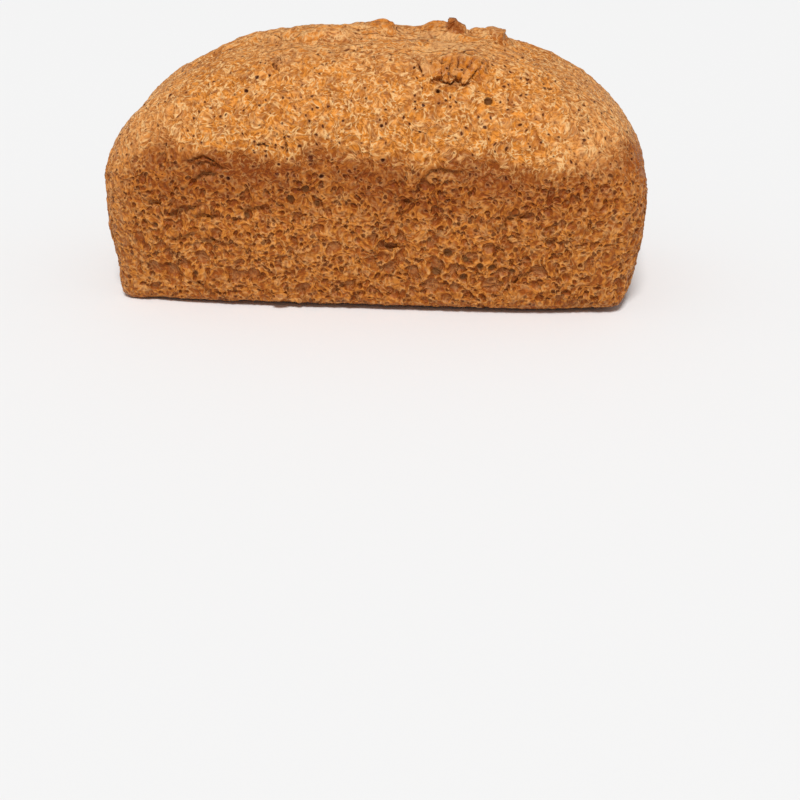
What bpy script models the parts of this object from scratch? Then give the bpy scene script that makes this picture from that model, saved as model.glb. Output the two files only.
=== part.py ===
"""Tin loaf of bread: one closed solid with its tin-moulded walls, domed top, burst seam and torn lumps.

Metres, +Z up. X runs along the loaf, -Y is its front. The loaf rests on its flat base at z = 0,
with the middle of its outline over the origin.
"""

import math

import bmesh
import bpy
from mathutils import Vector, noise

# Driving dimensions of the whole loaf
BASE_LENGTH = 0.199
BASE_WIDTH = 0.092
SHOULDER_LENGTH = 0.2085
SHOULDER_WIDTH = 0.1024
SHOULDER_HEIGHT = 0.0475
CREST_HEIGHT = 0.0985
WALL_BULGE = 0.9

# The edge round the base is crisp at the left end and soft at the right end
LEFT_BASE_EDGE_RADIUS = 0.002
RIGHT_BASE_EDGE_RADIUS = 0.0065

# Roundness of the outline in plan: a power of 2 is an ellipse, a high power a rectangle
BASE_CORNER_POWER = 6.0
CREST_CORNER_POWER = 3.0

# Fall of the dome from the crest, as (power of the height, power of the reach)
LEFT_FALL = (1.73, 2.35)
RIGHT_FALL = (1.58, 2.48)
FRONT_FALL = (2.45, 2.5)

# Height at which the grid of the walls hands over to the grid of the top, as a share of the dome,
# and how far the rows of the wall crowd towards the base
RIM_SHARE = 0.6
ROW_CROWDING = 1.2

# Unevenness of the dough: how far it swells or sinks, the size of one swelling, and the height
# below which it fades away towards the flat base
SWELL_DEPTH = 0.0011
SWELL_SIZE = 0.028
PUCKER_DEPTH = 0.0007
PUCKER_SIZE = 0.009
EVEN_BELOW = 0.020

# Burst seam that wanders lengthwise over the top
SEAM_START_X = -0.078
SEAM_END_X = 0.046
SEAM_Y = -0.010
SEAM_WANDER = 0.0055
SEAM_WANDER_LENGTH = 0.074
SEAM_FADE = 0.6
SEAM_DEPTH = 0.0032
SEAM_HALF_WIDTH = 0.0055
BACK_LOBE_RISE = 0.0026
BACK_LOBE_HALF_WIDTH = 0.011

# Lumps of torn crust on the crest: middle x and y, half length, half width, rise
CREST_LUMPS = (
    (0.002, 0.003, 0.006, 0.006, 0.0022),
    (0.021, 0.007, 0.010, 0.008, 0.0036),
    (0.029, 0.004, 0.006, 0.007, 0.0060),
    (0.044, 0.006, 0.009, 0.009, 0.0052),
)

# Hollow of the crest between its lumps: middle x and y, half length, half width, depth
CREST_HOLLOW = (0.012, 0.004, 0.016, 0.022, 0.0030)

# Curved folds of skin under the front shoulder: middle x and z, half length, half height, rise
SHOULDER_FOLDS = (
    (-0.066, 0.0590, 0.013, 0.0050, 0.0016),
    (-0.018, 0.0600, 0.016, 0.0040, 0.0010),
    (0.027, 0.0575, 0.014, 0.0045, 0.0015),
    (0.071, 0.0540, 0.012, 0.0045, 0.0010),
)
FOLD_ARCH = 0.0035

# Torn tongue of crust on the front slope, which ends in an abrupt lower lip
TONGUE_X = 0.0335
TONGUE_HALF_LENGTH = 0.0125
TONGUE_TOP_Y = -0.022
TONGUE_LIP_Y = -0.0365
TONGUE_RISE = 0.0036
TONGUE_SWELL = 0.7
TONGUE_BLUNTNESS = 0.6

# Grid of the solid
CELLS_ALONG = 62
CELLS_ACROSS = 32
CELLS_UP = 14
MERGE_DISTANCE = 0.00005

# Crust, as linear colour
CRUST_COLOUR = (0.53, 0.21, 0.058, 1.0)
CRUST_ROUGHNESS = 0.75


def clear_scene():
    """Remove every object that the file opened with."""
    for thing in list(bpy.data.objects):
        bpy.data.objects.remove(thing, do_unlink=True)


def crust_material():
    """Matt golden-brown crust."""
    material = bpy.data.materials.new("crust")
    material.use_nodes = True
    shader = material.node_tree.nodes["Principled BSDF"]
    shader.inputs["Base Color"].default_value = CRUST_COLOUR
    shader.inputs["Roughness"].default_value = CRUST_ROUGHNESS
    shader.inputs["Metallic"].default_value = 0.0
    return material


def grid_block():
    """A block from -1 to 1 in x and y and 0 to 1 in z, cut into a grid along each axis."""
    block = bmesh.new()
    bmesh.ops.create_cube(block, size=2.0)
    for vertex in block.verts:
        vertex.co.z = (vertex.co.z + 1.0) / 2.0
    for axis, cells in ((0, CELLS_ALONG), (1, CELLS_ACROSS), (2, CELLS_UP)):
        along = [
            edge for edge in block.edges
            if abs(edge.verts[0].co[axis] - edge.verts[1].co[axis]) > 0.5
        ]
        bmesh.ops.subdivide_edges(block, edges=along, cuts=cells - 1, use_grid_fill=True)
    return block


def outline(u, v, half_length, half_width, power):
    """Point where the direction (u, v) of the unit square meets the rounded outline."""
    reach = (abs(u) ** power + abs(v) ** power) ** (1.0 / power)
    return half_length * u / reach, half_width * v / reach


def wall_half_sizes(height, u):
    """Half length and half width of the moulded wall, which spreads upwards with a slight belly."""
    share = height / SHOULDER_HEIGHT
    spread = share + WALL_BULGE * share * (1.0 - share)
    half_length = (BASE_LENGTH + (SHOULDER_LENGTH - BASE_LENGTH) * spread) / 2.0
    half_width = (BASE_WIDTH + (SHOULDER_WIDTH - BASE_WIDTH) * spread) / 2.0
    rightwards = (u + 1.0) / 2.0
    radius = LEFT_BASE_EDGE_RADIUS + (RIGHT_BASE_EDGE_RADIUS - LEFT_BASE_EDGE_RADIUS) * rightwards ** 2
    sunk = max(radius - height, 0.0)
    inset = radius - math.sqrt(radius ** 2 - sunk ** 2)
    return half_length - inset, half_width - inset


def dome_half_sizes(share, to_the_left):
    """Half length and half width of the dome at a share of the way from the shoulder to the crest."""
    height_power, reach_power = LEFT_FALL if to_the_left else RIGHT_FALL
    length_left = max(1.0 - share ** height_power, 0.0) ** (1.0 / reach_power)
    height_power, reach_power = FRONT_FALL
    width_left = max(1.0 - share ** height_power, 0.0) ** (1.0 / reach_power)
    return SHOULDER_LENGTH / 2.0 * length_left, SHOULDER_WIDTH / 2.0 * width_left


def section_point(u, v, height):
    """Point of the loaf's outline at a height, in the direction (u, v)."""
    if height <= SHOULDER_HEIGHT:
        half_length, half_width = wall_half_sizes(height, u)
        power = BASE_CORNER_POWER
    else:
        share = (height - SHOULDER_HEIGHT) / (CREST_HEIGHT - SHOULDER_HEIGHT)
        half_length, half_width = dome_half_sizes(share, u < 0.0)
        power = BASE_CORNER_POWER + (CREST_CORNER_POWER - BASE_CORNER_POWER) * share
    x, y = outline(u, v, half_length, half_width, power)
    return Vector((x, y, height))


def height_over_rim(inward):
    """Height of the dome where the top grid has come in from the rim (1) to the middle (0)."""
    height_power, reach_power = FRONT_FALL
    rim_reach = (1.0 - RIM_SHARE ** height_power) ** (1.0 / reach_power)
    share = (1.0 - (inward * rim_reach) ** reach_power) ** (1.0 / height_power)
    return SHOULDER_HEIGHT + (CREST_HEIGHT - SHOULDER_HEIGHT) * share


def smooth_form(u, v, w):
    """Point of the even loaf, before its lumps, for a point of the grid block."""
    inward = max(abs(u), abs(v))
    if w <= 0.0:
        if inward == 0.0:
            return Vector((0.0, 0.0, 0.0))
        half_length, half_width = wall_half_sizes(0.0, u)
        x, y = outline(u, v, half_length * inward, half_width * inward, BASE_CORNER_POWER)
        return Vector((x, y, 0.0))
    if w >= 1.0:
        if inward == 0.0:
            return Vector((0.0, 0.0, CREST_HEIGHT))
        return section_point(u, v, height_over_rim(inward))
    rim_height = height_over_rim(1.0)
    return section_point(u, v, rim_height * w ** ROW_CROWDING)


def hump(distance):
    """Smooth bump: 1 in the middle, 0 from a distance of 1 outwards."""
    return (1.0 - min(distance, 1.0) ** 2) ** 2


def seam_rise(x, y):
    """Groove of the burst seam and the lobe of dough that rises behind it."""
    along = (x - SEAM_START_X) / (SEAM_END_X - SEAM_START_X)
    if not 0.0 < along < 1.0:
        return 0.0
    fade = math.sin(math.pi * along) ** SEAM_FADE
    middle = SEAM_Y + SEAM_WANDER * math.sin(2.0 * math.pi * x / SEAM_WANDER_LENGTH)
    groove = hump(abs(y - middle) / SEAM_HALF_WIDTH)
    lobe = hump(abs(y - middle - BACK_LOBE_HALF_WIDTH) / BACK_LOBE_HALF_WIDTH)
    return fade * (BACK_LOBE_RISE * lobe - SEAM_DEPTH * groove)


def round_hump(x, y, place):
    """Height of one round or oval hump at a point seen from above."""
    middle_x, middle_y, half_length, half_width, height = place
    return height * hump(math.hypot((x - middle_x) / half_length, (y - middle_y) / half_width))


def lump_rise(x, y):
    """Lumps of torn crust that stand up along the crest, and the hollow between them."""
    return max(round_hump(x, y, lump) for lump in CREST_LUMPS) - round_hump(x, y, CREST_HOLLOW)


def tongue_rise(x, y):
    """Torn tongue: it swells down the front slope and breaks off at its lip."""
    down = (TONGUE_TOP_Y - y) / (TONGUE_TOP_Y - TONGUE_LIP_Y)
    if not 0.0 < down < 1.0:
        return 0.0
    sideways = abs(x - TONGUE_X) / TONGUE_HALF_LENGTH
    return TONGUE_RISE * down ** TONGUE_SWELL * hump(sideways) ** TONGUE_BLUNTNESS


def fold_rise(x, z):
    """Arched folds where the skin of the dome rolled over the tin's rim."""
    rise = 0.0
    for middle_x, middle_z, half_length, half_height, height in SHOULDER_FOLDS:
        along = (x - middle_x) / half_length
        arch_z = middle_z + FOLD_ARCH * (0.5 - along ** 2)
        rise = max(rise, height * hump(abs(along)) * hump(abs(z - arch_z) / half_height))
    return rise


def dough_swell(point):
    """Slow swellings and small puckers of the baked dough."""
    swell = SWELL_DEPTH * noise.noise(point / SWELL_SIZE)
    pucker = PUCKER_DEPTH * noise.noise(point / PUCKER_SIZE)
    return swell + pucker


def rise_at(point):
    """How far the crust stands out from the even form at a point of it."""
    rise = dough_swell(point) * min(point.z / EVEN_BELOW, 1.0)
    if point.z > (SHOULDER_HEIGHT + CREST_HEIGHT) / 2.0:
        rise += seam_rise(point.x, point.y)
        rise += lump_rise(point.x, point.y)
        rise += tongue_rise(point.x, point.y)
    if point.y < 0.0:
        rise += fold_rise(point.x, point.z)
    return rise


def centre_over_origin(solid):
    """Slide the solid flat along the table until the middle of its box is over the origin."""
    for axis in (0, 1):
        places = [vertex.co[axis] for vertex in solid.verts]
        middle = (min(places) + max(places)) / 2.0
        for vertex in solid.verts:
            vertex.co[axis] -= middle


def build_loaf(collection):
    """The loaf: a grid block blown out to the even form, then pushed out or in along its normals."""
    solid = grid_block()
    for vertex in solid.verts:
        vertex.co = smooth_form(*vertex.co)
    bmesh.ops.remove_doubles(solid, verts=solid.verts, dist=MERGE_DISTANCE)
    solid.normal_update()
    moves = [(vertex, vertex.normal * rise_at(vertex.co)) for vertex in solid.verts if vertex.co.z > 0.0]
    for vertex, move in moves:
        vertex.co += move
    centre_over_origin(solid)
    base_faces = [face for face in solid.faces if max(vertex.co.z for vertex in face.verts) == 0.0]
    bmesh.ops.dissolve_faces(solid, faces=base_faces, use_verts=True)
    bmesh.ops.triangulate(solid, faces=solid.faces)
    bmesh.ops.recalc_face_normals(solid, faces=solid.faces)

    mesh = bpy.data.meshes.new("loaf")
    solid.to_mesh(mesh)
    solid.free()
    mesh.materials.append(crust_material())
    loaf = bpy.data.objects.new("loaf", mesh)
    collection.objects.link(loaf)
    return loaf


def main():
    clear_scene()
    collection = bpy.data.collections.new("loaf_of_bread")
    bpy.context.scene.collection.children.link(collection)
    loaf = build_loaf(collection)
    print("loaf:", len(loaf.data.polygons), "triangles,", [round(side, 4) for side in loaf.dimensions])


main()
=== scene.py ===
# %% [markdown]
# # A tin loaf of bread
#
# A loaf baked in a tin has two skins. The walls were pressed against hot metal: they are flat, brown
# and full of burst bubbles. The dome rose free: it is golden, matted with fine threads of dough, and
# torn where it burst. The solid that is loaded here has the loaf's true form and size. This notebook
# gives it its crust.

# %% Load the loaf's solid and note its size
import math

import bpy
import numpy as np
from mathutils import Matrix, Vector


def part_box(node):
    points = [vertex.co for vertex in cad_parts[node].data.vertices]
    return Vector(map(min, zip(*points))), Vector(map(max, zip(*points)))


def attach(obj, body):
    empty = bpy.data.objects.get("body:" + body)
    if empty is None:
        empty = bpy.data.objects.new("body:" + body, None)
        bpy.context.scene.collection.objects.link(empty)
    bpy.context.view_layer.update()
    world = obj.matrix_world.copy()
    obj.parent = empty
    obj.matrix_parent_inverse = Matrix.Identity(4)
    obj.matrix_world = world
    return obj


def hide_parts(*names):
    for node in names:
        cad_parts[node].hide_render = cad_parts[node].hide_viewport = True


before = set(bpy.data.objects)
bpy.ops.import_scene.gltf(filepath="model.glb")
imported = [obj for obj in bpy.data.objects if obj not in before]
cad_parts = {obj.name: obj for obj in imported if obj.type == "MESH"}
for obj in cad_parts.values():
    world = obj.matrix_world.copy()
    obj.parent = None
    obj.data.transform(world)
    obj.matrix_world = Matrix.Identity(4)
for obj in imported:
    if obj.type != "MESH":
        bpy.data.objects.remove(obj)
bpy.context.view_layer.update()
low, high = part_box("loaf")
MM = 0.001
print("solid, in mm:", [round(side / MM, 1) for side in high - low])

# %% [markdown]
# ## The camera
#
# The loaf is seen from the front, a little from its right, by a camera that looks down on it. The loaf
# stays where the solid is, and the camera is placed and turned to suit it.

# %% Place the camera
CAMERA_PLACE = (0.0604, -0.5650, 0.2002)
UP_FROM_DOWN = math.radians(65.5)
TURN = math.radians(5.3)
bpy.ops.object.camera_add(location=CAMERA_PLACE, rotation=(UP_FROM_DOWN, 0.0, TURN))
camera = bpy.context.object
camera.name = "camera"
camera.data.lens = 65.25
camera.data.sensor_width = 36.0
camera.data.clip_start = 0.01
bpy.context.scene.camera = camera
print("camera looks down by", round(90.0 - math.degrees(camera.rotation_euler.x), 1), "degrees")

# %% [markdown]
# ## The floor and the light
#
# Crust is all relief: without shadows in its holes it would look like painted wood. So one soft box
# does most of the lighting, from above and in front, and only a faint surround fills in the shadows. A
# sun lamp with a wide angle acts as a soft box that hangs far away, so the floor is evenly bright from
# front to back.

# %% Lay a pale floor
FLOOR_SIZE = 30.0
bpy.ops.mesh.primitive_plane_add(size=FLOOR_SIZE, location=(0.0, 0.0, 0.0))
floor = bpy.context.object
floor.name = "floor"

paper = bpy.data.materials.new("pale paper")
paper.use_nodes = True
paper_shader = paper.node_tree.nodes["Principled BSDF"]
paper_shader.inputs["Base Color"].default_value = (0.84, 0.84, 0.84, 1.0)
paper_shader.inputs["Roughness"].default_value = 0.9
paper_shader.inputs["Specular IOR Level"].default_value = 0.2
floor.data.materials.append(paper)
print("floor:", round(floor.dimensions.x), "by", round(floor.dimensions.y), "m")

# %% Hang the soft box and the surround
to_light = Vector((0.04, -0.85, 1.25))
bpy.ops.object.light_add(type="SUN", location=to_light)
soft_box = bpy.context.object
soft_box.name = "soft box"
soft_box.data.energy = 2.8
soft_box.data.angle = math.radians(16.0)
soft_box.rotation_euler = to_light.to_track_quat("Z", "Y").to_euler()

surround = bpy.data.worlds.new("surround")
surround.use_nodes = True
surround.node_tree.nodes["Background"].inputs["Color"].default_value = (1.0, 1.0, 1.0, 1.0)
surround.node_tree.nodes["Background"].inputs["Strength"].default_value = 0.36
bpy.context.scene.world = surround
bpy.context.scene.view_settings.view_transform = "Standard"
print("light comes from", round(math.degrees(math.asin(to_light.normalized().z))), "degrees up")

# %% [markdown]
# ## The dough
#
# The crust starts as a copy of the solid. Its loose triangles are merged and smoothed by a subdivision,
# so that no facet shows.

# %% Copy the solid and smooth its facets
def deselect_all():
    """Leave nothing selected."""
    for thing in bpy.context.selected_objects:
        thing.select_set(False)


def choose(thing):
    """Make one object the selected and active one."""
    deselect_all()
    thing.select_set(True)
    bpy.context.view_layer.objects.active = thing


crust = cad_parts["loaf"].copy()
crust.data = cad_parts["loaf"].data.copy()
crust.name = "crust"
crust.parent = None
for key in list(crust.keys()):
    del crust[key]
bpy.context.scene.collection.objects.link(crust)
choose(crust)
crust.data.materials.clear()
bpy.ops.object.mode_set(mode="EDIT")
bpy.ops.mesh.select_all(action="SELECT")
bpy.ops.mesh.remove_doubles(threshold=0.00001)
bpy.ops.mesh.tris_convert_to_quads()
bpy.ops.object.mode_set(mode="OBJECT")
smooth = crust.modifiers.new("smooth", "SUBSURF")
smooth.levels = smooth.render_levels = 2
bpy.ops.object.modifier_apply(modifier="smooth")
print("smoothed solid:", len(crust.data.vertices), "points")

# %% [markdown]
# Smoothing rounds everything off, the feet most of all. A few pulls bring the corners back and give the
# crest its dips. Each pull fades out smoothly from its middle to its reach, so it leaves no edge.

# %% Sharpen its corners and flatten its crest
def pull(place, reach, move):
    """Move the skin near a place, as the grab brush does. The three are in mm."""
    points = np.empty(len(crust.data.vertices) * 3)
    crust.data.vertices.foreach_get("co", points)
    points = points.reshape(-1, 3)
    distance = np.linalg.norm(points - np.array(place) * MM, axis=1)
    weight = np.clip(1.0 - distance / (reach * MM), 0.0, 1.0)
    weight = weight * weight * (3.0 - 2.0 * weight)
    points += weight[:, None] * np.array(move) * MM
    points[:, 2] = np.maximum(points[:, 2], 0.0)
    crust.data.vertices.foreach_set("co", points.ravel())
    crust.data.update()


PULLS = {
    "left foot, out to a corner": ((-97.0, -46.0, 3.0), 16.0, (-5.8, -4.0, -4.4)),
    "right foot, out to a corner": ((97.0, -46.0, 3.0), 15.0, (4.6, -3.6, -4.4)),
    "lower left wall": ((-101.0, -40.0, 22.0), 26.0, (-1.1, 0.0, 0.0)),
    "lower right wall": ((102.0, -36.0, 30.0), 30.0, (1.8, 0.0, 0.0)),
    "right shoulder": ((94.0, -18.0, 76.0), 26.0, (1.5, 0.0, 0.6)),
    "left shoulder": ((-88.0, -10.0, 74.0), 22.0, (0.4, 0.0, -1.5)),
    "left of the crest": ((-54.0, 0.0, 94.0), 26.0, (0.0, 0.0, 0.9)),
    "right of the crest": ((62.0, 0.0, 93.0), 18.0, (0.0, 0.0, -2.0)),
    "middle of the crest": ((20.0, 6.0, 100.0), 10.0, (0.0, 0.0, -1.1)),
    "under the middle chunk": ((30.5, 4.0, 100.0), 8.0, (0.0, 0.0, -2.8)),
    "before the right chunk": ((37.0, 4.0, 97.0), 7.0, (0.0, 0.0, -1.2)),
    "dip in the crest": ((11.5, 3.0, 99.0), 9.0, (0.0, 0.0, -1.5)),
}
for place, reach, move in PULLS.values():
    pull(place, reach, move)
print("pulled:", ", ".join(PULLS))

# %% [markdown]
# ## Torn dough
#
# Where the dome burst, the dough tore. A torn place is a hollow under a lip, so it takes two steps, as
# with clay: first hollows are scooped out of the loaf, then lumps of dough are laid over them. A remesh
# afterwards melts everything into one skin, so the lumps may simply overlap. The scoops may not: a
# Boolean needs each of them whole.

# %% Balls and blocks of dough
def turned(degrees):
    """Three angles in radians."""
    return [math.radians(angle) for angle in degrees]


def settle(name, half_sizes):
    """Name a new primitive, give it its half sizes in mm, and apply its place."""
    thing = bpy.context.object
    thing.name = name
    thing.scale = Vector(half_sizes) * MM
    bpy.ops.object.transform_apply(location=True, rotation=True, scale=True)
    return thing


def ball(name, place, half_sizes, turn=(0.0, 0.0, 0.0)):
    """A ball of dough at a place in mm, squashed to its half sizes and turned by degrees."""
    deselect_all()
    bpy.ops.mesh.primitive_ico_sphere_add(
        subdivisions=4, radius=1.0, location=Vector(place) * MM, rotation=turned(turn)
    )
    return settle(name, half_sizes)


def block(name, place, half_sizes, turn=(0.0, 0.0, 0.0)):
    """A block of crust with worn edges."""
    deselect_all()
    bpy.ops.mesh.primitive_cube_add(size=2.0, location=Vector(place) * MM, rotation=turned(turn))
    thing = settle(name, half_sizes)
    worn = thing.modifiers.new("worn", "BEVEL")
    worn.width = 0.5 * MM
    worn.segments = 2
    bpy.ops.object.modifier_apply(modifier="worn")
    return thing


def join(pieces, into=None):
    """Join meshes into the last one, or into another."""
    into = into or pieces[-1]
    choose(into)
    for piece in pieces:
        piece.select_set(True)
    bpy.ops.object.join()
    return into


print("shapes of dough: ball and block")

# %% Scoop out the torn places
# Each cave in a wall leans inwards and upwards, which leaves a sharp lip above it and a bright floor
# below.
scoops = [
    ball("mouth under the tongue", (30.4, -38.0, 87.0), (8.0, 3.2, 1.8), (20.0, 1.0, 0.0)),
    ball("hollow at its right", (40.8, -37.0, 87.8), (2.4, 2.6, 1.3), (24.0, 0.0, 0.0)),
    ball("tear beside the tongue", (20.8, -33.0, 91.2), (3.4, 3.4, 2.2), (32.0, 0.0, 0.0)),
    ball("tear at the left", (-33.4, -29.6, 92.7), (3.0, 2.6, 1.5), (32.0, 0.0, 0.0)),
    ball("cave in the front", (9.0, -50.4, 27.0), (4.3, 3.2, 1.7), (42.0, 0.0, 0.0)),
    ball("cave at the right", (68.5, -50.4, 30.2), (4.0, 3.0, 1.4), (42.0, 4.0, 0.0)),
    ball("cave at the left", (-80.5, -49.8, 41.0), (2.7, 3.0, 1.8), (42.0, 0.0, 0.0)),
    ball("cave under the fold", (-59.3, -52.2, 53.0), (4.2, 3.0, 1.8), (45.0, -8.0, 0.0)),
    ball("notch in the foot", (18.5, -47.0, 0.4), (2.9, 3.0, 2.4)),
    ball("chip in the foot", (-44.5, -48.0, 0.2), (2.0, 2.0, 1.3)),
]
scoop = join(scoops)
cut = crust.modifiers.new("cut", "BOOLEAN")
cut.operation = "DIFFERENCE"
cut.solver = "EXACT"
cut.object = scoop
choose(crust)
bpy.ops.object.modifier_apply(modifier="cut")
bpy.data.objects.remove(scoop)
print("scooped:", len(crust.data.polygons), "faces")

# %% Lay the torn tongue over its mouth
# The tongue hangs down the front of the dome in lobes, the longest near its right end.
tongue = [
    ball("tongue", (32.6, -28.6, 92.2), (10.6, 5.4, 2.5), (30.0, 2.0, 0.0)),
    ball("lobe 1", (24.6, -32.8, 90.6), (1.8, 4.6, 1.9), (34.0, 0.0, 14.0)),
    ball("lobe 2", (27.6, -34.2, 90.0), (1.5, 5.2, 1.5), (34.0, 0.0, 10.0)),
    ball("lobe 3", (30.3, -34.6, 89.7), (1.3, 5.4, 1.4), (34.0, 0.0, -6.0)),
    ball("lobe 4", (32.8, -33.8, 90.3), (1.3, 4.8, 1.5), (33.0, 0.0, 4.0)),
    ball("lobe 5", (37.8, -34.9, 90.3), (1.6, 6.8, 1.6), (32.0, 0.0, -36.0)),
    ball("right lobe", (41.0, -31.6, 91.1), (1.8, 3.6, 1.8), (30.0, 12.0, -16.0)),
]
strands = [
    ball("strand 1", (19.0, -33.2, 91.6), (0.7, 4.4, 0.7), (30.0, 0.0, 30.0)),
    ball("strand 2", (21.2, -33.8, 91.2), (0.7, 4.6, 0.7), (30.0, 0.0, 26.0)),
    ball("strand 3", (23.2, -35.0, 90.2), (0.6, 3.6, 0.6), (32.0, 0.0, 34.0)),
    ball("left curl", (-36.8, -32.4, 90.7), (0.9, 4.2, 0.9), (34.0, 0.0, -38.0)),
    ball("left strand", (-33.0, -29.8, 92.0), (0.6, 3.8, 0.6), (32.0, 0.0, 24.0)),
]
print("tongue:", len(tongue), "lumps of dough and", len(strands), "strands")

# %% Break up the crest, and leave flakes on the foot and a knob on the end
lumps = [
    ball("left lump", (0.6, 2.0, 98.7), (5.2, 4.0, 2.0), (0.0, -14.0, 0.0)),
    block("left flake", (2.4, 2.0, 100.4), (1.8, 1.9, 1.2), (0.0, 24.0, 20.0)),
    ball("middle ridge", (21.4, 6.0, 98.2), (6.2, 4.0, 2.2), (0.0, -5.0, 0.0)),
    block("middle chunk", (28.1, 2.6, 99.4), (1.6, 3.6, 3.0), (0.0, 4.0, 8.0)),
    block("middle chunk's shoulder", (30.4, 2.4, 98.4), (2.1, 3.4, 2.5), (0.0, 28.0, 8.0)),
    ball("right rise", (40.2, 4.6, 95.6), (6.5, 4.2, 2.6), (0.0, 14.0, 0.0)),
    block("right chunk", (45.4, 3.4, 95.4), (2.6, 3.2, 3.1), (0.0, 6.0, -8.0)),
    block("flake on the foot", (-34.0, -47.7, 5.0), (2.8, 1.4, 0.9), (0.0, -16.0, 0.0)),
    block("second flake on the foot", (-28.6, -45.9, 3.4), (2.8, 1.4, 0.7), (0.0, 6.0, 0.0)),
    ball("knob on the end", (101.2, -14.0, 30.0), (2.2, 5.0, 3.8)),
]
print("lumps:", [lump.name for lump in lumps])

# %% Melt everything into one skin of small even squares
SQUARE = 0.5 * MM
join(tongue + strands + lumps, crust)
crust.data.remesh_voxel_size = SQUARE
crust.data.use_remesh_fix_poles = False
bpy.ops.object.voxel_remesh()
ease = crust.modifiers.new("ease", "SMOOTH")
ease.factor = 0.5
ease.iterations = 6
bpy.ops.object.modifier_apply(modifier="ease")
print("even squares:", len(crust.data.polygons))

# %% [markdown]
# ## Folds and cracks
#
# Where the dough folded against the tin, the crust has small steps: it is proud above the fold and
# sunken below it. Where it split as it rose there are cracks. Each is drawn as a line of short edges
# laid on the skin. The relief will step or sink wherever the skin comes near to one.

# %% Lay the lines of the folds and cracks on the skin
# Places are (x, z) on the front wall, or (x, y, z), in mm.
WALL_Y = -50.0
STEP = 1.2
FOLDS = {
    "left fold": [(-65.5, 58.7), (-60.0, 60.8), (-56.0, 58.8), (-53.5, 56.7)],
    "second left fold": [(-62.2, 58.0), (-58.9, 58.7), (-55.5, 57.2)],
    "fold over the cave": [(-63.5, 52.0), (-61.0, 54.7), (-58.4, 55.6), (-56.5, 54.2)],
    "low left line": [(-73.5, 28.0), (-69.4, 29.3), (-66.2, 30.8)],
    "left zigzag": [(-73.7, 38.0), (-69.0, 41.4), (-65.4, 40.1), (-63.9, 42.1)],
    "short left line": [(-64.2, 37.8), (-61.8, 38.7), (-58.1, 38.1)],
    "second low line": [(-62.6, 28.2), (-58.4, 28.8), (-53.8, 27.2)],
    "line at the foot": [(-65.7, 9.8), (-63.0, 6.8), (-60.4, 5.5)],
    "middle line": [(-45.6, 41.0), (-39.8, 42.2)],
    "right hook": [(49.7, 36.6), (52.3, 40.8), (59.2, 42.5)],
    "right low hook": [(56.1, 14.2), (57.0, 16.9), (60.9, 18.7)],
    "middle hook": [(17.3, 46.6), (13.7, 45.9), (13.5, 40.5)],
    "right fold": [(21.6, 54.6), (23.7, 57.5), (27.7, 58.3), (32.8, 57.3)],
    "seam": [(-53.7, -5.9, 92.7), (-44.0, -12.5, 94.5), (-36.0, -13.0, 96.0), (-28.5, -16.1, 96.9)],
}
CRACKS = {
    "dark slit": [(-30.3, -49.2, 70.2), (-29.5, -49.8, 66.4), (-28.8, -50.5, 63.0)],
    "open crack": [(-8.3, -25.8, 94.6), (-4.6, -21.7, 96.1), (-0.6, -20.3, 96.5)],
    "front slit": [(-3.3, -30.5, 91.9), (0.3, -33.8, 90.6)],
    "left slit": [(-36.6, -31.8, 90.9), (-33.6, -34.8, 89.1)],
    "top of the tongue": [
        (24.0, -28.5, 94.6), (28.0, -27.0, 95.4), (33.0, -26.2, 95.7), (38.5, -27.5, 95.0),
    ],
    "first cleft": [(26.3, -30.5, 93.5), (26.6, -34.5, 91.0), (26.8, -37.5, 88.6)],
    "second cleft": [(29.4, -31.5, 93.6), (29.4, -35.0, 91.2), (29.0, -38.0, 88.6)],
    "third cleft": [(32.4, -31.0, 93.6), (32.0, -35.0, 91.2), (31.6, -38.0, 88.6)],
    "fourth cleft": [(38.2, -30.5, 93.6), (36.0, -33.6, 92.0), (34.5, -36.5, 89.6)],
    "fifth cleft": [(41.4, -31.5, 92.8), (39.6, -35.5, 90.4), (37.8, -38.4, 87.6)],
    "toothed line": [(-40.0, 64.9), (-38.0, 65.3), (-35.9, 64.6)],
    "short crack": [(-46.8, -20.4, 91.8), (-45.8, -17.7, 92.4)],
}


def on_skin(place):
    """The nearest point of the crust to a place in mm."""
    return crust.closest_point_on_mesh(Vector(place) * MM)[1]


def laid_line(places):
    """Points along a line through places in mm, a small step apart, each on the skin."""
    points = [on_skin(places[0])]
    for start, end in zip(places, places[1:]):
        start, end = Vector(start), Vector(end)
        steps = max(1, round((end - start).length / STEP))
        points += [on_skin(start.lerp(end, step / steps)) for step in range(1, steps + 1)]
    return points


def lay_lines(name, all_places):
    """An object of edges that follow each line of places over the skin."""
    points = []
    edges = []
    for places in all_places.values():
        if len(places[0]) == 2:
            places = [(x, WALL_Y, z) for x, z in places]
        first = len(points)
        points += laid_line(places)
        edges += [(step, step + 1) for step in range(first, len(points) - 1)]
    drawn = bpy.data.objects.new(name, bpy.data.meshes.new(name))
    drawn.data.from_pydata(points, edges, [])
    bpy.context.scene.collection.objects.link(drawn)
    print(name + ":", len(all_places), "lines of", len(edges), "short edges")
    return drawn


folds = lay_lines("folds", FOLDS)
cracks = lay_lines("cracks", CRACKS)

# %% [markdown]
# ## The relief of the crust
#
# Three things cover this crust: burst bubbles, threads of dried dough, and pinholes. The same graph of
# textures draws them twice: once as real relief that moves the mesh, and once, in the material, as
# colour. Both read the place on the even skin, so that they always agree. A graph is quicker to read
# when each kind of node has a short helper.

# %% Helpers for building graphs of nodes
def feed(tree, socket, value):
    """Link an output to an input, or set the input's own value."""
    if isinstance(value, bpy.types.NodeSocket):
        tree.links.new(value, socket)
    else:
        socket.default_value = value


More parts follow.
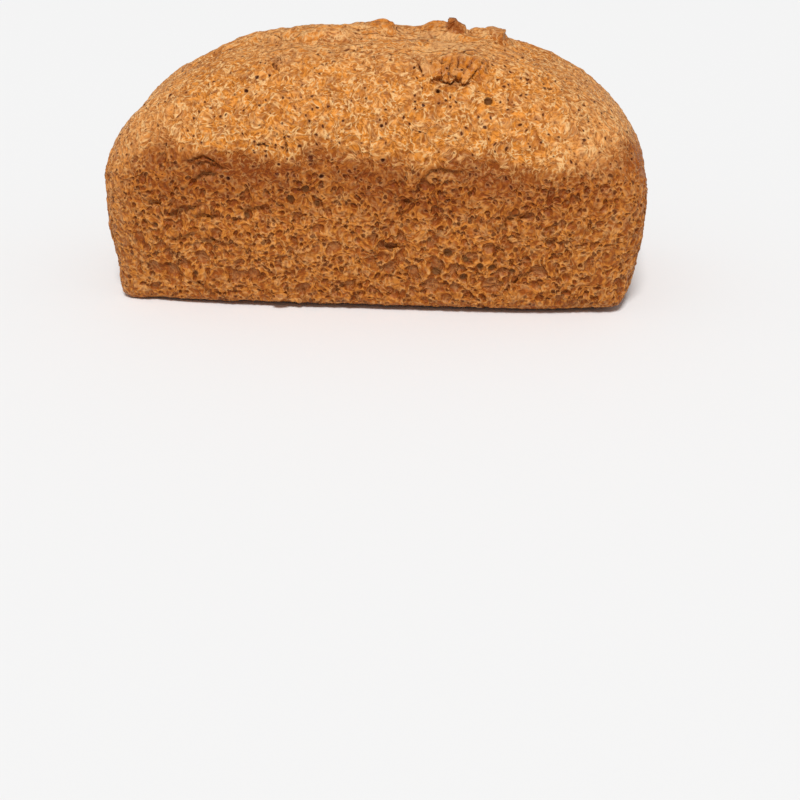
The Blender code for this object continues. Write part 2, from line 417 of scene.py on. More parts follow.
def calc(tree, operation, a, b=0.0, c=0.0):
    """One Math node. MULTIPLY_ADD gives a times b, plus c."""
    node = tree.nodes.new("ShaderNodeMath")
    node.operation = operation
    for socket, value in zip(node.inputs, (a, b, c)):
        feed(tree, socket, value)
    return node.outputs[0]


def times(tree, first, *others):
    """Several values multiplied: masks that must all hold, or a mask and its strength."""
    product = first
    for other in others:
        product = calc(tree, "MULTIPLY", product, other)
    return product


def inverse(tree, mask):
    """One where the mask is nothing, nothing where the mask is one."""
    return calc(tree, "SUBTRACT", 1.0, mask)


def most_of(tree, values):
    """The largest of several values."""
    largest = values[0]
    for value in values[1:]:
        largest = calc(tree, "MAXIMUM", largest, value)
    return largest


def least_of(tree, values):
    """The smallest of several values."""
    smallest = values[0]
    for value in values[1:]:
        smallest = calc(tree, "MINIMUM", smallest, value)
    return smallest


def vector_calc(tree, operation, a, b=(0.0, 0.0, 0.0), scale=None):
    """One Vector Math node."""
    node = tree.nodes.new("ShaderNodeVectorMath")
    node.operation = operation
    feed(tree, node.inputs[0], a)
    if scale is None:
        feed(tree, node.inputs[1], b)
    else:
        feed(tree, node.inputs["Scale"], scale)
    return node.outputs[0]


def distance_to(tree, point, centre):
    """How far a point is from a centre."""
    node = tree.nodes.new("ShaderNodeVectorMath")
    node.operation = "DISTANCE"
    feed(tree, node.inputs[0], point)
    node.inputs[1].default_value = centre
    return node.outputs["Value"]


def parts_of(tree, vector):
    """The x, y and z of a vector."""
    node = tree.nodes.new("ShaderNodeSeparateXYZ")
    feed(tree, node.inputs[0], vector)
    return node.outputs[0], node.outputs[1], node.outputs[2]


def ramp_between(tree, value, start, end, low_value=0.0, high_value=1.0):
    """A smooth ramp from low_value at start to high_value at end."""
    node = tree.nodes.new("ShaderNodeMapRange")
    node.interpolation_type = "SMOOTHSTEP"
    feed(tree, node.inputs["Value"], value)
    feed(tree, node.inputs["From Min"], start)
    feed(tree, node.inputs["From Max"], end)
    feed(tree, node.inputs["To Min"], low_value)
    feed(tree, node.inputs["To Max"], high_value)
    return node.outputs["Result"]


print("kinds of node with a helper: maths, vector maths, distance, parts, ramp")

# %% [markdown]
# ## Noise, threads and bubbles
#
# Noise swings softly round one half. Where it crosses the half it draws a winding line, which is a
# thread. A burst bubble is a ball of air cut open, so its depth at any point follows from its radius:
# it is steep at the rim and round at the bottom.

# %% Helpers for noise and threads
HALF = (0.5, 0.5, 0.5)


def cloud(tree, point, scale, detail=2.0, colour=False):
    """Soft noise: its value, or three values as a colour."""
    node = tree.nodes.new("ShaderNodeTexNoise")
    feed(tree, node.inputs["Vector"], point)
    node.inputs["Scale"].default_value = scale
    node.inputs["Detail"].default_value = detail
    node.inputs["Roughness"].default_value = 0.5
    return node.outputs["Color" if colour else "Fac"]


def swing(tree, point, scale, detail=2.0):
    """Soft noise that swings round zero."""
    return calc(tree, "SUBTRACT", cloud(tree, point, scale, detail), 0.5)


def swirl(tree, point, scale):
    """Noise that swings round zero in all three directions."""
    return vector_calc(tree, "SUBTRACT", cloud(tree, point, scale, 0.0, colour=True), HALF)


def pushed(tree, point, push, strength):
    """A point moved along a push of some strength."""
    return vector_calc(tree, "ADD", point, vector_calc(tree, "SCALE", push, scale=strength))


def shifted(tree, point, seed):
    """The same point, far away in the noise, so that each layer is different."""
    return vector_calc(tree, "ADD", point, (seed, seed * 0.7, seed * 0.3))


def lines(tree, point, scale, width, seed, detail=0.0):
    """Winding threads: one where the noise crosses its middle, nothing elsewhere."""
    away = calc(tree, "ABSOLUTE", swing(tree, shifted(tree, point, seed), scale, detail))
    return ramp_between(tree, away, width, 0.0)


def ragged(tree, mm, distance):
    """A distance in metres, made uneven so that a line breaks up like a real tear."""
    uneven = calc(tree, "SUBTRACT", cloud(tree, mm, 0.8), 0.42)
    return calc(tree, "MULTIPLY_ADD", uneven, 2.4 * MM, distance)


def near(tree, point, centre, half_sizes, edge=0.25):
    """One inside an egg-shaped region, nothing outside it, with a soft edge."""
    offset = vector_calc(tree, "SUBTRACT", point, centre)
    offset = vector_calc(tree, "DIVIDE", offset, half_sizes)
    return ramp_between(tree, distance_to(tree, offset, (0.0, 0.0, 0.0)), 1.0 + edge, 1.0 - edge)


# %% Helpers for bubbles
FAR = 9.0
SMALLEST_RADIUS = 0.15

# For each size of bubble: how far apart the places are where one may be, its least and most radius, all
# in mm, and the share of those places that hold one.
BIG = {"spacing": 6.4, "least": 1.4, "most": 3.0, "share": 0.62, "seed": 5.0}
MEDIUM = {"spacing": 3.9, "least": 0.6, "most": 1.9, "share": 0.90, "seed": 17.0}
SMALL = {"spacing": 2.2, "least": 0.25, "most": 1.0, "share": 0.70, "seed": 29.0}
PINHOLE = {"spacing": 2.1, "least": 0.20, "most": 0.68, "share": 0.55, "seed": 43.0}


def scattered(tree, point, scale):
    """Places scattered through the dough: distance from the nearest one, and a random colour for it."""
    node = tree.nodes.new("ShaderNodeTexVoronoi")
    feed(tree, node.inputs["Vector"], point)
    node.inputs["Scale"].default_value = scale
    node.inputs["Randomness"].default_value = 1.0
    return node.outputs["Distance"], node.outputs["Color"]


def burst_bubbles(tree, point, growth, spacing, least, most, share, seed):
    """How deep burst bubbles go, and how far away their rims are, both in mm."""
    distance, chance = scattered(tree, shifted(tree, point, seed), 1.0 / spacing)
    distance = times(tree, distance, spacing)
    luck = parts_of(tree, chance)[0]
    radius = ramp_between(tree, luck, 1.0 - share, 1.0)
    radius = calc(tree, "MULTIPLY_ADD", radius, most - least, least)
    radius = times(tree, radius, calc(tree, "GREATER_THAN", luck, 1.0 - share), growth)
    squared_depth = calc(tree, "SUBTRACT", times(tree, radius, radius), times(tree, distance, distance))
    away = calc(tree, "SUBTRACT", distance, radius)
    away = calc(tree, "MULTIPLY_ADD", calc(tree, "LESS_THAN", radius, SMALLEST_RADIUS), FAR, away)
    return calc(tree, "SQRT", most_of(tree, [squared_depth, 0.0])), away


for size in (BIG, MEDIUM, SMALL, PINHOLE):
    print("bubbles of", size["least"], "to", size["most"], "mm, about", size["spacing"], "mm apart")

# %% [markdown]
# ## Bubbles with a place of their own
#
# Chance alone makes every part of the crust alike. The largest bubbles and the darkest pits give a loaf
# its face, so those are listed one by one: a ray from the front finds the skin at each (x, z).

# %% List some bubbles and pits
# The bubbles against the tin are largest low on the right of the front; the pits are small, deep and
# dark. Each is (x, z, radius) in mm.
BURSTS = {
    "low on the right": [
        (17.4, 18.0, 2.3), (30.6, 25.9, 1.8), (45.7, 28.2, 2.2), (37.5, 23.1, 1.4), (42.5, 20.7, 1.5),
        (47.2, 20.0, 1.5), (36.6, 16.0, 1.6), (33.4, 11.5, 2.1), (24.5, 11.8, 3.4), (46.9, 12.6, 3.6),
        (24.3, 29.5, 2.1), (8.6, 18.5, 2.5), (26.2, 17.9, 1.9), (54.5, 18.3, 1.4),
    ],
    "middle of the wall": [
        (-22.5, 48.9, 1.7), (-18.1, 43.5, 1.4), (-28.0, 44.9, 1.6), (-44.9, 38.1, 1.5),
    ],
    "left of the wall": [(-66.2, 13.8, 1.1), (-80.7, 33.0, 1.1)],
    "dome": [(44.0, 80.8, 1.5), (26.0, 83.9, 1.0), (65.6, 83.6, 1.1)],
}
PITS = {
    "under the tongue": [(25.8, 83.9, 0.7), (17.5, 80.9, 0.5), (20.9, 79.6, 0.7), (30.3, 82.2, 0.5)],
    "beside the tongue": [(16.3, 90.7, 0.6), (42.6, 90.6, 0.6), (48.2, 80.5, 0.6)],
    "in the tongue": [(28.3, 91.4, 0.5), (33.6, 90.8, 0.5)],
    "middle of the dome": [(6.0, 72.8, 0.7), (-0.4, 81.4, 0.5), (-8.7, 74.0, 0.5)],
    "left of the dome": [(-41.4, 87.1, 0.8), (-45.2, 82.5, 0.8), (-37.1, 87.7, 0.6), (-21.1, 73.6, 0.5)],
    "dark band": [(6.3, 60.9, 0.7), (-31.7, 58.4, 0.6), (-16.3, 53.8, 0.8), (-51.0, 52.3, 0.8)],
}


def from_the_front(x, z):
    """The point of the skin seen straight from the front at (x, z), all in mm."""
    start = Vector((x, -100.0, z)) * MM
    backwards = Vector((0.0, 1.0, 0.0))
    return crust.ray_cast(start, backwards)[1] / MM


burst_places = [(from_the_front(x, z), radius) for group in BURSTS.values() for x, z, radius in group]
pit_places = [(from_the_front(x, z), radius) for group in PITS.values() for x, z, radius in group]
print("placed by hand:", len(burst_places), "bubbles and", len(pit_places), "pits")


def nearest_rim(tree, point, places):
    """How far away the nearest rim is of some round holes, in mm."""
    rims = [calc(tree, "SUBTRACT", distance_to(tree, point, centre), radius) for centre, radius in places]
    return least_of(tree, [FAR] + rims)


# %% Draw the bubbles and the thick threads
def crust_pattern(tree, place):
    """The crust's pattern at a place in metres: a dictionary of outputs, with depths in mm."""
    mm = vector_calc(tree, "SCALE", place, scale=1.0 / MM)
    x, y, z = parts_of(tree, mm)
    slow = swirl(tree, mm, 0.16)
    stirred = pushed(tree, mm, slow, 3.6)
    shaken = pushed(tree, mm, slow, 1.5)
    wander = swing(tree, mm, 0.035, 1.0)
    wall = ramp_between(tree, calc(tree, "MULTIPLY_ADD", wander, 30.0, z), 64.0, 48.0)
    foam = ramp_between(tree, calc(tree, "MULTIPLY_ADD", wander, 60.0, z), 50.0, 20.0)

    # Bubbles stay small at the corners and along the foot, where the tin held the dough tightest.
    corner = times(
        tree,
        ramp_between(tree, calc(tree, "ABSOLUTE", x), 86.0, 98.0),
        ramp_between(tree, calc(tree, "ABSOLUTE", y), 36.0, 48.0),
        0.6,
    )
    room = inverse(tree, most_of(tree, [corner, ramp_between(tree, z, 8.0, 1.0, 0.0, 0.6)]))
    foam_growth = times(tree, calc(tree, "MULTIPLY_ADD", foam, 0.75, 0.25), room)
    wall_growth = times(tree, calc(tree, "MULTIPLY_ADD", wall, 0.75, 0.25), room)
    big, big_away = burst_bubbles(tree, stirred, foam_growth, **BIG)
    medium, medium_away = burst_bubbles(tree, stirred, wall_growth, **MEDIUM)
    small, small_away = burst_bubbles(tree, stirred, wall_growth, **SMALL)
    chosen_away = nearest_rim(tree, shaken, burst_places)
    chosen = calc(tree, "SQRT", most_of(tree, [times(tree, chosen_away, -7.0), 0.0]))

    # Deep bubbles are pressed shallower than round ones would be, because the tin flattened them.
    depth = most_of(tree, [chosen, big, medium])
    depth = calc(tree, "DIVIDE", depth, calc(tree, "MULTIPLY_ADD", depth, 0.22, 1.0))
    away = least_of(tree, [big_away, medium_away, small_away, chosen_away])
    rim = times(tree, ramp_between(tree, away, -0.1, 0.2), ramp_between(tree, away, 1.0, 0.3), wall)
    return {
        "mm": mm,
        "x": x,
        "z": z,
        "stirred": stirred,
        "shaken": shaken,
        "wall": wall,
        "depth": depth,
        "small": small,
        "away": away,
        "pit": nearest_rim(tree, shaken, pit_places),
        "rim": rim,
        "thick": lines(tree, stirred, scale=0.24, width=0.12, seed=71.0),
        "wrinkle": times(tree, swing(tree, stirred, 0.30, 1.0), inverse(tree, wall)),
    }


# %% [markdown]
# ## Moving the mesh
#
# Each layer of the relief is a mask with a height in mm, and the heights add up. Geometry Nodes first
# store each point's place on the even skin, then move the point along its normal by the sum.

# %% Add up the layers of the relief
def stack(tree, layers):
    """The sum, in metres, of layers that are each multiplied by a height in mm."""
    height = 0.0
    for layer, millimetres in layers:
        height = calc(tree, "MULTIPLY_ADD", layer, millimetres * MM, height)
    return height


def relief_height(tree, pattern, fold, step, crack):
    """Height of the relief in metres, from the pattern and the folds and cracks."""
    sunken = times(tree, ramp_between(tree, fold, 4.5 * MM, 0.0), step)
    proud = times(tree, ramp_between(tree, fold, 2.4 * MM, 0.0), inverse(tree, step))
    groove = ramp_between(tree, ragged(tree, pattern["mm"], crack), 0.9 * MM, 0.1 * MM)
    return stack(tree, [
        (pattern["depth"], -0.52),
        (pattern["small"], -0.50),
        (ramp_between(tree, pattern["pit"], 0.1, -0.6), -0.90),
        (pattern["rim"], 0.24),
        (pattern["thick"], 0.30),
        (swing(tree, pattern["mm"], 0.10), 1.4),
        (pattern["wrinkle"], 0.9),
        (sunken, -0.8),
        (proud, 0.6),
        (groove, -1.1),
    ])


def nearest_line(tree, drawn):
    """How far the nearest of some drawn lines is, and its nearest place."""
    info = tree.nodes.new("GeometryNodeObjectInfo")
    info.inputs["Object"].default_value = drawn
    nearest = tree.nodes.new("GeometryNodeProximity")
    nearest.target_element = "EDGES"
    tree.links.new(info.outputs["Geometry"], nearest.inputs["Geometry"])
    return nearest.outputs["Distance"], nearest.outputs["Position"]


def remember(tree, geometry, name, kind, value):
    """Store a value on every point under a name, for the material to read."""
    node = tree.nodes.new("GeometryNodeStoreNamedAttribute")
    node.data_type = kind
    node.domain = "POINT"
    node.inputs["Name"].default_value = name
    tree.links.new(geometry, node.inputs["Geometry"])
    tree.links.new(value, node.inputs["Value"])
    return node.outputs["Geometry"]


# %% Move the mesh by the relief
def relief_nodes():
    """Geometry Nodes that remember each point's place on the even skin, then move it."""
    tree = bpy.data.node_groups.new("relief", "GeometryNodeTree")
    tree.interface.new_socket("Geometry", in_out="INPUT", socket_type="NodeSocketGeometry")
    tree.interface.new_socket("Geometry", in_out="OUTPUT", socket_type="NodeSocketGeometry")
    start = tree.nodes.new("NodeGroupInput")
    end = tree.nodes.new("NodeGroupOutput")
    place = tree.nodes.new("GeometryNodeInputPosition").outputs[0]
    normal = tree.nodes.new("GeometryNodeInputNormal").outputs[0]

    fold, fold_place = nearest_line(tree, folds)
    up = parts_of(tree, vector_calc(tree, "SUBTRACT", place, fold_place))[2]
    step = ramp_between(tree, up, 0.15 * MM, -0.15 * MM)
    crack = nearest_line(tree, cracks)[0]
    geometry = remember(tree, start.outputs[0], "skin", "FLOAT_VECTOR", place)
    geometry = remember(tree, geometry, "fold", "FLOAT", fold)
    geometry = remember(tree, geometry, "step", "FLOAT", step)
    geometry = remember(tree, geometry, "crack", "FLOAT", crack)

    pattern = crust_pattern(tree, place)
    above_base = ramp_between(tree, pattern["z"], 0.5, 3.0)
    height = times(tree, relief_height(tree, pattern, fold, step, crack), above_base)
    move = tree.nodes.new("GeometryNodeSetPosition")
    tree.links.new(geometry, move.inputs["Geometry"])
    tree.links.new(vector_calc(tree, "SCALE", normal, scale=height), move.inputs["Offset"])
    tree.links.new(move.outputs["Geometry"], end.inputs[0])
    return tree


relief = crust.modifiers.new("relief", "NODES")
relief.node_group = relief_nodes()
choose(crust)
bpy.ops.object.modifier_apply(modifier="relief")
bpy.data.objects.remove(folds)
bpy.data.objects.remove(cracks)
print("with its relief, the loaf measures", [round(side / MM, 1) for side in crust.dimensions])

# %% Thin the mesh where it is even
MOST_TRIANGLES = 195000
triangles = sum(len(face.vertices) - 2 for face in crust.data.polygons)
thin = crust.modifiers.new("thin", "DECIMATE")
thin.ratio = min(1.0, MOST_TRIANGLES / triangles)
thin.use_collapse_triangulate = True
bpy.ops.object.modifier_apply(modifier="thin")
bpy.ops.object.shade_smooth()
print("triangles:", triangles, "thinned to", len(crust.data.polygons))

# %% [markdown]
# ## The crust's colour
#
# Crust browns where it is driest. The dome is golden and its walls are browner, with a dark wavy band
# between them. Thin ridges and threads stick out, dry first and catch flour, so their tops are pale,
# and a painted highlight lightens them more. Painted shade darkens the valleys between them to a deep
# reddish brown, and the bubbles, pits, folds and cracks; a pinhole is painted nearly black. A painted
# sheen lightens the top, the shoulders and the left end.

# %% Colours
DOME = (0.765, 0.268, 0.030, 1.0)
WALL = (0.415, 0.106, 0.010, 1.0)
BAND = (0.245, 0.060, 0.007, 1.0)
RIDGE = (0.700, 0.262, 0.040, 1.0)
CREAM = (0.775, 0.456, 0.190, 1.0)
VALLEY = (0.235, 0.052, 0.006, 1.0)
# The darkest colour below is painted shade, for pinholes, pits, small bubbles, folds and cracks.
HOLE_SHADE = (0.060, 0.010, 0.001, 1.0)
CRUMB = (0.440, 0.200, 0.075, 1.0)
# The pale tan below is a painted sheen and painted light for the top, the shoulders and the left end.
SHEEN_TAN = (0.815, 0.388, 0.136, 1.0)
TOFFEE = (0.590, 0.178, 0.011, 1.0)
RUSSET = (0.265, 0.062, 0.009, 1.0)
CAVE_SHADE = (0.100, 0.038, 0.008, 1.0)
BEIGE = (0.600, 0.345, 0.155, 1.0)
SHADE = (0.720, 0.540, 0.320, 1.0)


def mix_colours(tree, amount, under, over, blend="MIX"):
    """Lay one colour over another by an amount from 0 to 1."""
    node = tree.nodes.new("ShaderNodeMix")
    node.data_type = "RGBA"
    node.blend_type = blend
    feed(tree, node.inputs[0], amount)
    feed(tree, node.inputs[6], under)
    feed(tree, node.inputs[7], over)
    return node.outputs[2]


def paint(tree, colour, coat, *masks):
    """Lay a coat over a colour where all the masks hold. A plain number among them is its strength."""
    return mix_colours(tree, times(tree, *masks), colour, coat)


def attribute(tree, name):
    """A value that was stored on the mesh."""
    node = tree.nodes.new("ShaderNodeAttribute")
    node.attribute_name = name
    return node


print("dome colour:", DOME[:3], "wall colour:", WALL[:3])

# %% Paint the broad colours of dome, band and wall
def crest_flaps(tree, pattern):
    """Noise pulled along the crest, for flaps of dough that overlap, and a mask of the crest."""
    stretched = vector_calc(tree, "MULTIPLY", pattern["stirred"], (0.07, 0.20, 0.30))
    return cloud(tree, stretched, 1.0), ramp_between(tree, pattern["z"], 89.0, 95.0)


def broad_colour(tree, pattern):
    """Far-off colour with painted sheen and painted shade, and masks of the dome and of the dark band."""
    mm = pattern["mm"]
    across = calc(tree, "ABSOLUTE", pattern["x"])
    height = calc(tree, "MULTIPLY_ADD", swing(tree, mm, 0.045, 3.0), 32.0, pattern["z"])
    dome = ramp_between(tree, height, 52.0, 66.0)
    band = times(
        tree,
        ramp_between(tree, height, 67.0, 56.0),
        ramp_between(tree, height, 34.0, 50.0),
        ramp_between(tree, across, 100.0, 78.0, 0.25, 1.0),
    )
    colour = mix_colours(tree, dome, WALL, DOME)
    colour = paint(tree, colour, BAND, band, 0.8)
    blotch = ramp_between(tree, cloud(tree, mm, 0.10, 3.0), 0.45, 0.70)
    colour = paint(tree, colour, BAND, blotch, 0.35)
    patch = ramp_between(tree, cloud(tree, pattern["stirred"], 0.22), 0.46, 0.66)
    colour = paint(tree, colour, BAND, patch, 0.48)

    # Painted sheen and light: the top, the shoulders and the left end are laid over with pale tan, as the
    # bright surround would glance off them and as if more light fell there.
    top = times(tree, ramp_between(tree, height, 82.0, 102.0), 0.36)
    sheen_on_shoulders = times(tree, ramp_between(tree, across, 55.0, 95.0), dome, 0.66)
    sheen_on_left_end = times(tree, ramp_between(tree, pattern["x"], -88.0, -99.0), 0.48)
    colour = paint(tree, colour, SHEEN_TAN, most_of(tree, [top, sheen_on_shoulders, sheen_on_left_end]))
    # Darker towards the feet: the lower corners are browner crust, and the low band along the whole foot
    # is painted shade, as if little light came up from below.
    feet = times(tree, ramp_between(tree, across, 50.0, 92.0), ramp_between(tree, height, 48.0, 22.0))
    foot = most_of(tree, [feet, ramp_between(tree, height, 34.0, 10.0, 0.0, 0.40)])
    colour = paint(tree, colour, BAND, foot, 0.52)

    flaps, crest = crest_flaps(tree, pattern)
    colour = paint(tree, colour, TOFFEE, ramp_between(tree, flaps, 0.53, 0.62), crest, 0.55)
    colour = paint(tree, colour, CREAM, ramp_between(tree, flaps, 0.46, 0.36), crest, 0.45)
    lip = times(tree, ramp_between(tree, flaps, 0.49, 0.52), ramp_between(tree, flaps, 0.58, 0.54))
    colour = paint(tree, colour, CREAM, lip, crest, 0.60)
    # The dark line under each flap's pale lip is painted shade, where the lip overhangs.
    under = times(tree, ramp_between(tree, flaps, 0.43, 0.47), ramp_between(tree, flaps, 0.50, 0.475))
    colour = paint(tree, colour, VALLEY, under, crest, 0.70)
    return colour, dome, band


# %% Paint the torn places
# Each place is an egg-shaped region: its centre and its half sizes, in mm.
DUSTY = {
    "behind the tongue": ((27.8, -15.4, 96.1), (6.5, 3.2, 2.5)),
    "before the middle ridge": ((18.0, 0.5, 96.6), (4.0, 3.0, 2.5)),
    "tear beside the tongue": ((20.8, -34.0, 91.2), (3.2, 4.4, 3.0)),
    "tear at the left": ((-33.4, -29.6, 91.8), (4.0, 3.6, 2.4)),
}
CRUMBS = {
    "between the tongue and the crest": ((25.6, -5.2, 96.6), (5.0, 4.0, 2.5)),
    "flake on the foot": ((-34.0, -50.0, 5.2), (3.6, 2.4, 2.0)),
    "second flake on the foot": ((-28.6, -47.4, 3.4), (3.6, 2.4, 1.2)),
}
# Painted shade inside the mouth under the tongue and the hollow at its right: their insides are darkened.
THROAT_SHADE = {
    "mouth under the tongue": ((30.4, -36.4, 86.8), (8.0, 2.9, 1.5)),
    "hollow at its right": ((40.8, -36.0, 87.6), (2.2, 2.4, 1.1)),
}


def in_any(tree, mm, places):
    """A mask of several egg-shaped regions."""
    return most_of(tree, [near(tree, mm, centre, half_sizes) for centre, half_sizes in places.values()])


def torn_colour(tree, pattern, colour):
    """Paint the torn places and painted shade in their holes, with masks of the tongue and of bare dough.
    """
    mm = pattern["mm"]
    pulled = cloud(tree, vector_calc(tree, "MULTIPLY", pattern["stirred"], (0.60, 0.17, 0.17)), 1.0)
    dusty = in_any(tree, mm, DUSTY)
    colour = paint(tree, colour, BEIGE, dusty, 0.45)
    crumb = in_any(tree, mm, CRUMBS)
    colour = paint(tree, colour, CREAM, crumb, 0.60)

    tongue_mask = near(tree, mm, (33.2, -32.5, 90.6), (11.2, 7.0, 4.6))
    ridge_mask = near(tree, mm, (20.0, 5.0, 99.6), (7.5, 5.0, 2.4))
    lump_mask = near(tree, mm, (0.8, 2.0, 100.6), (5.2, 6.0, 2.6))
    amber = most_of(tree, [tongue_mask, times(tree, ridge_mask, 0.8), lump_mask])
    colour = paint(tree, colour, TOFFEE, amber, 0.90)
    chunk_mask = near(tree, mm, (29.6, 2.8, 99.4), (4.4, 5.4, 4.4), edge=0.12)
    right_mask = near(tree, mm, (45.6, 2.6, 96.4), (4.2, 6.0, 4.6))
    russet = most_of(tree, [chunk_mask, times(tree, right_mask, 0.45)])
    colour = paint(tree, colour, RUSSET, russet, 0.92)

    bare = most_of(tree, [amber, russet])
    torn = most_of(tree, [bare, dusty])
    colour = paint(tree, colour, CREAM, ramp_between(tree, pulled, 0.55, 0.66), bare, 0.35)
    colour = paint(tree, colour, VALLEY, ramp_between(tree, pulled, 0.47, 0.36), torn, 0.70)
    # Painted shade inside the mouth under the tongue.
    colour = paint(tree, colour, VALLEY, in_any(tree, mm, THROAT_SHADE), 0.45)
    cave_floor = near(tree, mm, (-59.3, -49.6, 53.2), (4.6, 3.0, 2.2))
    colour = paint(tree, colour, CRUMB, cave_floor, 0.70)
    # Painted shade: the deep hole in the dome, right of the tongue and below it, is darkened all over.
    cave = near(tree, mm, (44.0, -41.0, 80.8), (1.6, 2.5, 1.5))
    colour = paint(tree, colour, CAVE_SHADE, cave)
    bare = most_of(tree, [bare, times(tree, dusty, 0.8), times(tree, crumb, 0.6), cave])
    return colour, tongue_mask, bare


print("torn places:", ", ".join(list(DUSTY) + list(CRUMBS) + list(THROAT_SHADE)))

# %% [markdown]
# ## Threads and pinholes
#
# The finest threads are thinner than the squares of the mesh. They are drawn by the material alone, as
# colour and as bump. Two layers of winding lines, one wide and one narrow, cross each other like matted
# fibres.

# %% Draw the threads and pinholes
def fine_pattern(tree, pattern):
    """Threads and pinholes that are too fine for the mesh."""
    quick = swirl(tree, pattern["stirred"], 0.45)
    point = pushed(tree, pattern["stirred"], quick, 1.5)
    wide = lines(tree, point, scale=0.46, width=0.22, seed=11.0, detail=0.5)
    narrow = lines(tree, point, scale=0.80, width=0.24, seed=53.0)
    share = calc(tree, "MULTIPLY_ADD", pattern["wall"], 0.30, 0.50)
    thread = calc(tree, "MULTIPLY_ADD", narrow, inverse(tree, share), times(tree, wide, share))
    clefts = times(tree, inverse(tree, thread), lines(tree, point, scale=0.42, width=0.14, seed=91.0))
    gap = most_of(tree, [clefts, times(tree, ramp_between(tree, thread, 0.50, 0.05), 0.7)])
    shaken = pushed(tree, pattern["mm"], quick, 1.6)
    growth = calc(tree, "MULTIPLY_ADD", pattern["wall"], 0.35, 1.0)
    away = burst_bubbles(tree, shaken, growth, **PINHOLE)[1]
    return {
        "thread": thread,
        "gap": gap,
        "pin": ramp_between(tree, away, 0.05, -0.30),
        "halo": ramp_between(tree, away, 0.75, -0.10),
        "rim": times(tree, ramp_between(tree, away, 0.6, 0.2), ramp_between(tree, away, -0.1, 0.15)),
        "mottle": ramp_between(tree, cloud(tree, shifted(tree, point, 23.0), 0.42), 0.48, 0.66),
        "fuzz": cloud(tree, shifted(tree, point, 67.0), 1.30, 1.0),
        "sparkle": ramp_between(tree, cloud(tree, point, 0.38, 1.0), 0.40, 0.60, 0.08, 1.0),
    }


# %% Paint the bubbles, threads and pinholes
NARROW_RADIUS = 2.0


def fine_colour(tree, pattern, fine, colour, dome, band, bare):
    """Lay the pattern's colours over the broad one, with painted shade and highlights. Bare dough has few
    threads.
    """
    away = pattern["away"]
    wall = pattern["wall"]
    calm = calc(tree, "MULTIPLY_ADD", bare, -0.6, 1.0)
    web = times(
        tree,
        ramp_between(tree, away, 0.0, 0.25),
        ramp_between(tree, away, 1.3, 0.5),
        calc(tree, "MULTIPLY_ADD", wall, 0.60, 0.10),
    )
    colour = paint(tree, colour, RIDGE, web)
    colour = paint(tree, colour, BAND, fine["mottle"], calm, 0.50)
    # The thick threads' tops are paler crust, and a painted highlight besides.
    colour = paint(tree, colour, CREAM, pattern["thick"], dome, calm, 0.30)

    # Painted shade: inside each burst bubble the colour is darkened to a deep brown, and inside the small
    # deep bubbles of the wall further towards black.
    inside = ramp_between(tree, away, 0.1, -0.45)
    colour = paint(tree, colour, VALLEY, inside, 0.70)
    colour = paint(tree, colour, HOLE_SHADE, ramp_between(tree, pattern["small"], 0.30, 0.75), wall, 0.50)
    colour = paint(tree, colour, CRUMB, ramp_between(tree, pattern["depth"], 1.15, 1.65), 0.35)
    # Painted shade in the crevices beside the threads, weaker inside the bubbles.
    crevice_shade_strength = calc(tree, "MULTIPLY_ADD", inside, -0.40, 0.80)
    colour = paint(tree, colour, VALLEY, fine["gap"], crevice_shade_strength, calm)
    colour = paint(tree, colour, VALLEY, fine["halo"], calc(tree, "MULTIPLY_ADD", wall, -0.30, 0.55))

    # The fine threads' tops are paler crust, and a painted highlight besides.
    pale = times(
        tree,
        ramp_between(tree, fine["thread"], 0.50, 0.92),
        fine["sparkle"],
        calc(tree, "MULTIPLY_ADD", dome, 0.72, 0.34),
        calc(tree, "MULTIPLY_ADD", inside, -0.6, 1.0),
        calc(tree, "MULTIPLY_ADD", band, -0.10, 1.0),
        calc(tree, "MULTIPLY_ADD", bare, -0.8, 1.0),
    )
    colour = paint(tree, colour, CREAM, pale)
    colour = paint(tree, colour, VALLEY, ramp_between(tree, fine["fuzz"], 0.50, 0.34), calm, 0.44)
    colour = paint(tree, colour, RIDGE, ramp_between(tree, fine["fuzz"], 0.54, 0.68), 0.28)
    colour = mix_colours(tree, times(tree, band, 0.65), colour, SHADE, "MULTIPLY")
    # Painted highlight: a pale ring round each pinhole's rim.
    colour = paint(tree, colour, CREAM, fine["rim"], 0.15)

    # Painted shade: the narrower bubbles listed in BURSTS are darkened inside, as deep holes.
    narrow_places = [(centre, radius) for centre, radius in burst_places if radius < NARROW_RADIUS]
    narrow = ramp_between(tree, nearest_rim(tree, pattern["shaken"], narrow_places), 0.0, -0.55)
    colour = paint(tree, colour, CAVE_SHADE, narrow, 0.70)
    # Painted highlight: a pale ring round each pit listed in PITS.
    colour = paint(tree, colour, CREAM, ramp_between(tree, pattern["pit"], 0.8, 0.4), 0.15)
    # Painted shade: pinholes and the pits listed in PITS are darkened nearly to black.
    pin = times(
        tree,
        fine["pin"],
        calc(tree, "MULTIPLY_ADD", inside, -0.8, 0.92),
        calc(tree, "MULTIPLY_ADD", wall, -0.25, 1.0),
        inverse(tree, bare),
    )
    dark = most_of(tree, [pin, ramp_between(tree, pattern["pit"], 0.20, -0.25)])
    return paint(tree, colour, HOLE_SHADE, dark), inside


def line_colour(tree, mm, colour):
    """Painted shade: darken the cracks, the crust near each fold, and more the sunken side of each fold.
    """
    crack = ragged(tree, mm, attribute(tree, "crack").outputs["Fac"])
    fold = ragged(tree, mm, attribute(tree, "fold").outputs["Fac"])
    step = attribute(tree, "step").outputs["Fac"]
    colour = paint(tree, colour, BAND, ramp_between(tree, fold, 3.2 * MM, 0.6 * MM), 0.35)
    colour = paint(tree, colour, HOLE_SHADE, ramp_between(tree, fold, 1.0 * MM, 0.2 * MM), step, 0.45)
    return paint(tree, colour, HOLE_SHADE, ramp_between(tree, crack, 0.8 * MM, 0.2 * MM), 0.80)


# %% [markdown]
# ## One material
#
# The layers of colour go into the base colour, and a second stack of heights into the bump. The
# tongue's crust was stretched smooth, so it is the only place that shines a little.

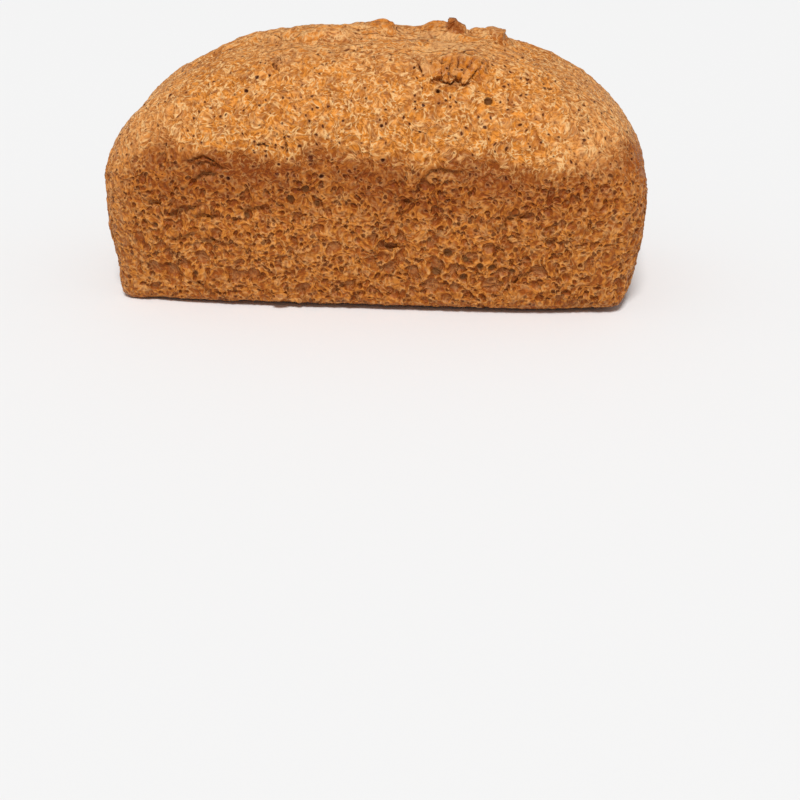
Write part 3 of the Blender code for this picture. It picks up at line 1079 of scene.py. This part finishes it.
# %% Put the crust's material together
def crust_material():
    """The crust's colour, bump and shine in one material."""
    material = bpy.data.materials.new("crust")
    material.use_nodes = True
    tree = material.node_tree
    shader = tree.nodes["Principled BSDF"]
    pattern = crust_pattern(tree, attribute(tree, "skin").outputs["Vector"])
    fine = fine_pattern(tree, pattern)
    flaps, crest = crest_flaps(tree, pattern)
    colour, dome, band = broad_colour(tree, pattern)
    colour, tongue_mask, bare = torn_colour(tree, pattern, colour)
    bare = most_of(tree, [bare, times(tree, crest, 0.35)])
    colour, inside = fine_colour(tree, pattern, fine, colour, dome, band, bare)
    tree.links.new(line_colour(tree, pattern["mm"], colour), shader.inputs["Base Color"])

    height = stack(tree, [
        (times(tree, fine["thread"], calc(tree, "MULTIPLY_ADD", bare, -0.10, 0.22)), 1.0),
        (fine["gap"], -0.12),
        (pattern["rim"], 0.12),
        (fine["pin"], -0.14),
        (inside, -0.20),
        (pattern["small"], -0.45),
        (pattern["thick"], 0.18),
        (fine["fuzz"], 0.06),
    ])
    height = times(tree, height, ramp_between(tree, pattern["z"], 84.0, 99.0, 1.0, 0.45))
    lifted = times(tree, ramp_between(tree, flaps, 0.43, 0.55), crest)
    height = calc(tree, "MULTIPLY_ADD", lifted, 0.60 * MM, height)
    bump = tree.nodes.new("ShaderNodeBump")
    bump.inputs["Strength"].default_value = 1.0
    bump.inputs["Distance"].default_value = 1.0
    tree.links.new(height, bump.inputs["Height"])
    tree.links.new(bump.outputs["Normal"], shader.inputs["Normal"])
    tree.links.new(calc(tree, "MULTIPLY_ADD", tongue_mask, -0.17, 0.50), shader.inputs["Roughness"])
    shader.inputs["Specular IOR Level"].default_value = 0.12
    return material


crust.data.materials.append(crust_material())
print("material nodes:", len(crust.data.materials[0].node_tree.nodes))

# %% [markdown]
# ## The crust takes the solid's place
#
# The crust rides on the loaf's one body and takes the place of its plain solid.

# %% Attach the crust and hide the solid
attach(crust, "root")
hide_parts("loaf")
